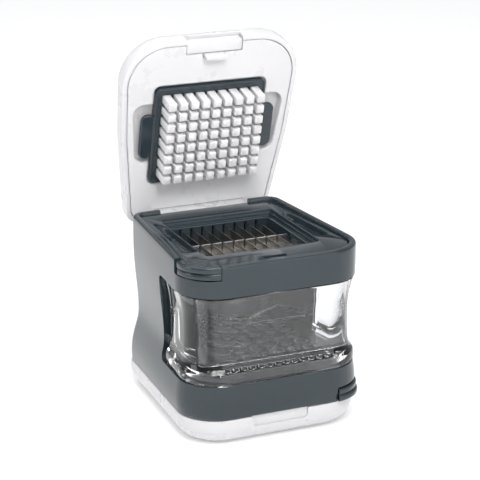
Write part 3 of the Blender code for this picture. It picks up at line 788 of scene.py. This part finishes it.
comb = as_object("comb_plate", comb_plate())
grip = soft_block((24.2, EAR_X), (-EAR_Y, EAR_Y), (COMB_FACE + 0.3, COMB_FACE + COMB_THICK - 0.2), 3.0, 0.5)
other_grip = mirrored(grip)
carve(comb, join(grip, other_grip), "UNION")
border_corners = rectangle((-COMB_X, COMB_X), (-COMB_Y, COMB_Y))
border_rim = [(1.0, 0.2), (1.0, -0.22), (0.85, -0.32), (0.5, -0.32), (0.3, -0.2), (0.3, 0.2)]
border_rim = [(inset, COMB_FACE + z) for inset, z in border_rim]
carve(comb, loft(stacked(border_corners, COMB_ROUND, border_rim, 10), True), "UNION")
settle(comb, slate_plastic, "comb", ["cleaning_comb"], LID_OPEN)

# ---------------------------------------------------------------------------------------------
# The two inserts: slate frames that hold the blades. Each has a stepped recess round its opening,
# a finger hollow on both sides with two bosses, a slit for a hook and a ribbed grip at one corner.

INSERT_TALL = 11.8
INSERT_WALL = RIM_WALL + 0.4
SKIRT_WALL = LEDGE_WALL + 0.4
STORED_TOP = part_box("dicer_frame")[0].z / MM + 0.9
OPEN_X, OPEN_Y = 22.7, 22.4
BLADE_TOP = -4.0
BOSS_X = 28.3
BOSS_ALONG = (9.0, 12.4)
BOSS_HALF = 1.1


def grip_lips():
    """A thumb tab at the corner, swelling out past the body: two rounded lips with a groove between."""
    middle = Vector((FRONT_ROUND - FRONT_WIDE, FRONT + FRONT_ROUND))

    def lip(out):
        arc = rounded(body_corners(INSERT_TOP), [FRONT_ROUND] * 4)[2:ARC - 1]
        swells = [out * (0.3 + 0.7 * math.sin(math.pi * k / (len(arc) - 1))) for k in range(len(arc))]
        edge = [point + (point - middle).normalized() * swell for point, swell in zip(arc, swells)]
        return [tuple(point) for point in edge] + [(-28.0, -34.0), (-33.5, -27.5)]

    levels = [(0.2, -4.6), (0.8, -4.45), (1.1, -4.1), (1.15, -2.6), (0.95, -2.25), (0.5, -2.1), (0.5, -1.8)]
    levels += [(1.2, -1.7), (1.6, -1.4), (1.75, -1.05), (1.75, 0.1), (1.6, 0.5), (1.2, 0.8), (0.6, 0.9)]
    return loft([(lip(out), z) for out, z in levels])


def grip_waves():
    """Low ribs across the top of the grip, each a bar with a round back."""
    bars = []
    flatten = Matrix.Diagonal((1.0, 1.0, 0.42, 1.0))
    across = Matrix.Rotation(math.radians(-47.0), 4, "Z")
    for k in range(4):
        reach = 5.2 - 0.5 * abs(k - 1.0)
        bar = turned(rod(1.0, (-reach, reach), (0.0, 0.0), 20, 0.5), flatten)
        bars.append(turned(bar, Matrix.Translation((-35.0 + k * 1.5, -36.1 + k * 1.7, 0.70)) @ across))
    return bars


def insert_frame(name, node, body_name, cross_rows, place):
    """The frame, hollow below, with its bosses and grip ribs, put in its seat or its store."""
    ringed = [(SKIRT_WALL, -INSERT_TALL), (SKIRT_WALL, -2.0), (INSERT_WALL, -2.0), (INSERT_WALL, -0.45)]
    ringed += [(INSERT_WALL + 0.12, -0.15), (INSERT_WALL + 0.45, 0.0)]
    made = as_object(name, loft([(seat_outline(inset), z) for inset, z in ringed]))
    carve(made, grip_lips(), "UNION")
    recess = rectangle((-25.1, 25.1), (-25.4, 24.9))
    steps = [(-0.5, 2.0), (-0.5, 0.0), (-0.15, -0.15), (0.0, -0.5), (0.0, -1.5), (0.15, -1.7), (0.75, -1.75)]
    steps += [(0.8, -2.0), (0.85, -2.85), (1.0, -3.0)]
    carve(made, loft(stacked(recess, 1.6, steps, 6, 0.5)))
    below = -INSERT_TALL - 2.0
    opening = rectangle((-OPEN_X, OPEN_X), (-OPEN_Y, OPEN_Y))
    mouth = [(-0.4, 1.0), (-0.4, -3.0), (-0.1, -3.15), (0.0, -3.5), (0.0, below)]
    carve(made, loft([(rounded(inset_corners(opening, i), [0.6] * 4, 4), z) for i, z in mouth]))
    wall = rounded(rectangle((-25.0, 25.0), (-24.8, 24.8)), [1.0] * 4)
    hollow = seat_outline(SKIRT_WALL + 1.6)
    carve(made, loft([(hollow, below), (hollow, -5.0), (wall, -5.0), (wall, below)], True))
    ear = [(26.0, -18.5), (32.6, -18.5), (29.8, 15.5), (26.0, 15.5)]
    ear_steps = [(-0.4, 2.0), (-0.4, 0.0), (-0.1, -0.15), (0.0, -0.4), (0.1, -2.0), (0.4, -2.45), (1.0, -2.6)]
    carve(made, join(*pair(ear, 1.8, ear_steps)))
    half = 0.25 + PLAY
    deep = (below, BLADE_TOP + PLAY)
    places = [(k - 0.5 * (COLUMNS - 2)) * PITCH for k in range(COLUMNS - 1)]
    carve(made, join(*[block((x - half, x + half), (-24.2, 24.2), deep) for x in places]))
    carve(made, join(*[block((-24.4, 24.4), (y - half, y + half), deep) for y in cross_rows]))
    carve(made, block((-5.2, 5.2), (-37.4, -34.7), (-8.0, 2.0), 0.6))
    settle(made, slate_plastic, body_name, [node], place)
    bosses = []
    for middle in (-BOSS_X, BOSS_X):
        for along in BOSS_ALONG:
            x, y = (middle - BOSS_HALF, middle + BOSS_HALF), (along - BOSS_HALF, along + BOSS_HALF)
            bosses.append(soft_block(x, y, (-2.7, -0.9), 1.05, 0.4))
    studs = as_object(name + "_bosses", join(*bosses))
    settle(studs, slate_plastic, body_name, [], place)
    ribs = as_object(name + "_grip_ribs", join(*grip_waves()))
    settle(ribs, slate_plastic, body_name, [], place, 60.0)


def blade_tree():
    """Strips of one section, side by side: flat sides, a ground bevel and a fine flat at the edge."""
    sizes = ("Pitch", "Length", "Thick", "Tall", "Bevel", "Edge", "Top")
    tree, ids, start, end = node_tree_for("blade_rack", ("Count",), sizes)
    give = start.outputs
    flank = arithmetic(tree, "SUBTRACT", give["Tall"], give["Bevel"])
    base = grow(tree, "MeshCube", Size=vector_of(tree, give["Thick"], give["Length"], flank))
    shoulder = arithmetic(tree, "SUBTRACT", give["Top"], give["Bevel"])
    middle = arithmetic(tree, "SUBTRACT", shoulder, arithmetic(tree, "MULTIPLY", flank, 0.5))
    placed = grow(tree, "Transform", Geometry=base.outputs[0], Translation=vector_of(tree, 0.0, 0.0, middle))
    normal = tree.nodes.new("GeometryNodeInputNormal")
    split = tree.nodes.new("ShaderNodeSeparateXYZ")
    tree.links.new(normal.outputs[0], split.inputs[0])
    above = arithmetic(tree, "GREATER_THAN", split.outputs["Z"], 0.5)
    ground = grow(tree, "ExtrudeMesh", Mesh=placed.outputs[0], Selection=above, Offset_Scale=give["Bevel"])
    shrink = arithmetic(tree, "DIVIDE", give["Edge"], give["Thick"])
    tip, top = ground.outputs["Mesh"], ground.outputs["Top"]
    narrow = grow(tree, "ScaleElements", Geometry=tip, Selection=top, Scale=shrink)
    narrow.scale_mode = "SINGLE_AXIS"
    narrow.inputs["Axis"].default_value = (1.0, 0.0, 0.0)
    wide = arithmetic(tree, "MULTIPLY", arithmetic(tree, "SUBTRACT", give["Count"], 1.0), give["Pitch"])
    first = vector_of(tree, arithmetic(tree, "MULTIPLY", wide, -0.5))
    step = vector_of(tree, give["Pitch"])
    line = grow(tree, "MeshLine", Count=give["Count"], Start_Location=first, Offset=step)
    rack = grow(tree, "InstanceOnPoints", Points=line.outputs[0], Instance=narrow.outputs[0])
    close_tree(tree, rack.outputs[0], blade_steel, end)
    return tree, ids


blades_tree, blades_ids = blade_tree()
BLADE_SIZES = {"Pitch": PITCH, "Thick": 0.5, "Tall": 7.3, "Bevel": 1.3, "Edge": 0.14, "Top": BLADE_TOP}
LAP = 3.65


def insert_blades(kind, body_name, cross_rows, place):
    """Long blades from front to back, and cross blades whose edges stand between them."""
    long_names = [f"{kind}_blade_{k}" for k in range(1, COLUMNS)]
    rack_sizes = {**BLADE_SIZES, "Count": COLUMNS - 1, "Length": 47.8}
    rack = grown(f"{kind}_long_blades", blades_tree, blades_ids, rack_sizes)
    settle(rack, blade_steel, body_name, long_names, place)
    quarter = Matrix.Rotation(math.pi / 2, 4, "Z")
    tooth_sizes = {**BLADE_SIZES, "Count": 1, "Length": PITCH - 1.1, "Tall": LAP + 0.2}
    tooth_sizes.update(Bevel=0.3, Edge=0.34)
    strip_sizes = {**BLADE_SIZES, "Count": 1, "Length": 48.2, "Tall": LAP, "Top": BLADE_TOP - LAP}
    strip_sizes.update(Bevel=0.05, Edge=0.48)
    for number, y in enumerate(cross_rows, 1):
        teeth = []
        for k in range(COLUMNS):
            tooth = grown("tooth", blades_tree, blades_ids, tooth_sizes)
            tooth.data.transform(Matrix.Translation(((k - 0.5 * (COLUMNS - 1)) * PITCH, y, 0.0)) @ quarter)
            teeth.append(tooth)
        strip = grown("strip", blades_tree, blades_ids, strip_sizes)
        strip.data.transform(Matrix.Translation((0.0, y, 0.0)) @ quarter)
        whole = bmesh.new()
        for part in teeth + [strip]:
            whole.from_mesh(part.data)
            bpy.data.objects.remove(part)
        cross = as_object(f"{kind}_cross_strip_{number}", whole)
        settle(cross, cross_steel, body_name, [f"{kind}_cross_blade_{number}"], place)


SEATED = Matrix.Translation((0.0, 0.0, INSERT_TOP))
STORED = Matrix.Translation((0.0, 0.0, STORED_TOP)) @ Matrix.Rotation(math.pi, 4, "Y")
dicing_rows = [(k - 0.5 * (ROWS - 2)) * PITCH for k in range(ROWS - 1)]
insert_frame("slicing_insert", "slicer_frame", "slicer_insert", [0.0], SEATED)
insert_blades("slicer", "slicer_insert", [0.0], SEATED)
insert_frame("dicing_insert", "dicer_frame", "dicer_insert", dicing_rows, STORED)
insert_blades("dicer", "dicer_insert", dicing_rows, STORED)

# ---------------------------------------------------------------------------------------------
# The drawer: one clear moulding with thick walls, drawn in at the waist to match the body, on a
# foot that follows the body's edge. Its floor is dotted with low round bumps that stop food sticking.

drawer_low, drawer_high = (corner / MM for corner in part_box("container"))
DRAWER_FOOT = drawer_low.z
DRAWER_TOP = drawer_high.z
SHOULDER = -6.4
DRAWER_BACK = 34.9
FLOOR_TOP = 33.4
FLOOR_UNDER = 30.6


def drawer_outline(inset):
    """A wide front that fills the window and a narrower tail that runs inside the body."""
    wide = [39.8 - inset, 36.4 - inset]
    tail = [31.0, 28.4]
    right = [(wide[0], FRONT + 0.2 + inset), (wide[1], SHOULDER), (tail[0], SHOULDER), (tail[1], DRAWER_BACK)]
    left = [(-x, y) for x, y in reversed(right)]
    radii = [15.5 - 0.7 * inset, min(1.5, 0.45 * (wide[1] - tail[0])), 0.2, 3.5]
    return rounded(right + left, radii + radii[::-1], 14)


def smooth_profile(knots, steps):
    """Points on a smooth curve through (height, inset) knots."""
    points = []
    for k in range(len(knots) - 1):
        p = [knots[max(0, k - 1)], knots[k], knots[k + 1], knots[min(len(knots) - 1, k + 2)]]
        for s in range(steps):
            t = s / steps
            weights = (-t**3 + 2 * t**2 - t, 3 * t**3 - 5 * t**2 + 2, -3 * t**3 + 4 * t**2 + t, t**3 - t**2)
            points.append(tuple(0.5 * sum(w * q[a] for w, q in zip(weights, p)) for a in (0, 1)))
    return points + [knots[-1]]


foot_knots = [(DRAWER_FOOT, 0.6), (DRAWER_FOOT + 0.5, 0.2), (29.0, 0.1), (30.8, 0.2), (31.5, 0.4)]
wall_knots = [(32.2, 0.9), (33.4, 1.7), (35.0, 2.2), (37.6, 2.5), (41.0, 2.6), (46.0, 2.65), (50.0, 2.6)]
wall_knots += [(55.0, 2.2), (58.6, 1.5), (61.4, 0.9), (DRAWER_TOP - 0.3, 0.4), (DRAWER_TOP, 0.7)]
drawer_rings = [(drawer_outline(inset), z) for z, inset in smooth_profile(foot_knots + wall_knots, 3)]
drawer = as_object("drawer_tub", loft(drawer_rings))
tub_corners = [(-33.2, -36.6), (33.2, -36.6), (24.9, 32.3), (-24.9, 32.3)]
tub_steps = [(0.8, FLOOR_TOP), (0.25, FLOOR_TOP + 0.2), (0.0, FLOOR_TOP + 0.8), (0.0, FLOOR_TOP + 2.0)]
tub_steps += [(0.0, DRAWER_TOP - 0.8), (-0.15, DRAWER_TOP - 0.3)]
tub_steps += [(-0.5, DRAWER_TOP), (-0.5, DRAWER_TOP + 2.0)]
carve(drawer, loft(stacked(tub_corners, 4.0, tub_steps)))
foot_corners = [(-36.0, -40.6), (36.0, -40.6), (30.4, -8.0), (25.8, 32.0), (-25.8, 32.0), (-30.4, -8.0)]
under = rounded(foot_corners, [13.0, 13.0, 3.0, 3.0, 3.0, 3.0])
carve(drawer, loft([(under, DRAWER_FOOT - 2.0), (under, FLOOR_UNDER)]))


def bump_tree():
    """Low domes on a grid, flattened balls that stand half out of the floor."""
    sizes = ("Across", "Along", "Radius", "Rise", "Height", "Middle")
    tree, ids, start, end = node_tree_for("floor_bumps", ("Columns", "Rows"), sizes)
    give = start.outputs
    ball = grow(tree, "MeshUVSphere", Segments=20, Rings=10, Radius=give["Radius"])
    flatness = arithmetic(tree, "DIVIDE", give["Rise"], give["Radius"])
    flat = grow(tree, "Transform", Geometry=ball.outputs[0], Scale=vector_of(tree, 1.0, 1.0, flatness))
    spots = grid_spots(tree, give, "Across", "Along", vector_of(tree, 0.0, give["Middle"], give["Height"]))
    rows = grow(tree, "InstanceOnPoints", Points=spots, Instance=flat.outputs[0])
    close_tree(tree, rows.outputs[0], white_plastic, end)
    return tree, ids


bumps_tree, bumps_ids = bump_tree()


def bumps_on(piece, values):
    """Joins a grid of bumps onto the drawer, as one solid with it."""
    dots = grown("bumps", bumps_tree, bumps_ids, values)
    shape = bmesh.new()
    shape.from_mesh(dots.data)
    bpy.data.objects.remove(dots)
    carve(piece, shape, "UNION")


floor_bumps = {"Columns": 6, "Rows": 8, "Across": 6.9, "Along": 7.8, "Radius": 2.7, "Rise": 0.95}
bumps_on(drawer, {**floor_bumps, "Height": FLOOR_TOP, "Middle": -3.6})
foot_bumps = {"Rows": 1, "Across": 3.7, "Along": 1.0, "Radius": 1.5, "Rise": 0.9, "Height": FLOOR_UNDER}
for count, middle in ((17, -38.7), (16, -36.0)):
    bumps_on(drawer, {**foot_bumps, "Columns": count, "Middle": middle})

# Two raised lines inside the front wall, one bent like a roof over a straight one.
upright = Matrix(((1, 0, 0), (0, 0, -1), (0, 1, 0))).to_4x4()
roof = [(-12.5, 52.7), (-12.2, 52.4), (0.0, 56.4), (12.2, 52.4), (12.5, 52.7), (12.2, 53.1), (0.0, 57.1)]
roof += [(-12.2, 53.1)]
bar = rounded(rectangle((-12.5, 12.5), (49.7, 50.4)), [0.34] * 4, 4)
for mark in (roof, bar):
    carve(drawer, turned(loft([(mark, 36.25), (mark, 36.9)]), upright), "UNION")

clear_plastic, clear_nodes, clear_shader, clear_where = new_material("clear_plastic")
clear_skin = use_group(clear_nodes, skin_group, Vector=clear_where, Gloss=0.015, Haze=0.03)
clear_shader.inputs["Base Color"].default_value = (0.985, 0.99, 1.0, 1.0)
clear_shader.inputs["Transmission Weight"].default_value = 1.0
clear_shader.inputs["IOR"].default_value = 1.53
clear_shader.inputs["Specular IOR Level"].default_value = 0.08
frost = clear_nodes.nodes.new("ShaderNodeAttribute")
frost.attribute_name = "frost"
frosted = arithmetic(clear_nodes, "MULTIPLY_ADD", frost.outputs["Fac"], 0.30, clear_skin.outputs["Roughness"])
clear_nodes.links.new(frosted, clear_shader.inputs["Roughness"])
raise_surface(clear_nodes, clear_shader, clear_skin.outputs["Height"], 0.0000015)


def matt_here(point):
    """The bumps on the floor and the two raised lines are left matt by the mould."""
    on_bump = abs(point.x) < 21.0 and -32.0 < point.y < 25.0 and FLOOR_TOP + 0.02 < point.z < 35.0
    on_mark = abs(point.x) < 13.0 and -36.5 < point.y < -36.2 and 49.0 < point.z < 58.0
    return float(on_bump or on_mark)


matt = drawer.data.attributes.new("frost", "FLOAT", "POINT")
matt.data.foreach_set("value", [matt_here(vertex.co) for vertex in drawer.data.vertices])
settle(drawer, clear_plastic, "drawer", ["container"], sharp=38.0)

# ---------------------------------------------------------------------------------------------
# The base cover: a white lower lid like the upper one, which the dicer stands on. It closes the
# store for the second insert, and has a thumb notch in front and its own hook and hinge.

BASE_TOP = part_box("base_cover_shell")[1].z / MM


def base_outline(inset=0.0):
    """The base cover's outline, which follows the body's foot and runs on behind to the hinge."""
    corners = body_corners(BODY_FOOT)
    corners = [corners[0], corners[1], (corners[2][0] - 0.1, 42.4), (-corners[2][0] + 0.1, 42.4)]
    front, back = max(3.0, FRONT_ROUND - 0.8 * inset), 6.0 - 0.2 * inset
    return rounded(inset_corners(corners, inset), [front, front, back, back])


base_inner = [(8.0, 2.6), (4.0, 4.2), (3.0, 6.4), (3.0, BASE_TOP)]
base_outer = [(0.6, BASE_TOP), (0.3, BASE_TOP - 0.1), (0.15, BASE_TOP - 0.4), (0.1, 8.0)]
base_rings = [(base_outline(inset), z) for inset, z in base_inner + base_outer]
base_cover = as_object("base_cover", loft(base_rings + pillow(base_outline, 8.0, 0.0, 0.1, 8.4)))
notch = rounded(rectangle((-12.5, 12.5), (6.9, BASE_TOP + 2.0)), [2.2, 2.2, 0.2, 0.2], 8)
carve(base_cover, turned(loft([(notch, 41.2), (notch, 48.0)]), upright))
carve(base_cover, block(LEAF_GAP, (36.4, 42.9), (6.4, BASE_TOP + 2.0)))
settle(base_cover, white_plastic, "base_cover", ["base_cover_shell"])

panel_steps = [(3.3, 8.4), (3.3, BASE_TOP - 0.25), (3.55, BASE_TOP)]
base_panel = as_object("base_panel", loft([(base_outline(inset), z) for inset, z in panel_steps]))
carve(base_panel, block(HOOK_SLIT, (-37.2, -34.8), (7.0, BASE_TOP + 2.0)))
carve(base_panel, block(LEAF_GAP, (36.4, 45.0), (7.0, BASE_TOP + 2.0)))
settle(base_panel, white_plastic, "base_cover", ["base_cover_liner"])
base_hook = as_object("base_hook", soft_block(HOOK_WIDE, (-36.9, -35.1), (8.4, 15.0), 0.5, 0.35))
settle(base_hook, white_plastic, "base_cover", ["base_latch_hook"])
hinge_leaf("base_hinge_leaf", "base_hinge_block", BASE_AXIS, 8.6, "base_cover", Matrix.Identity(4))
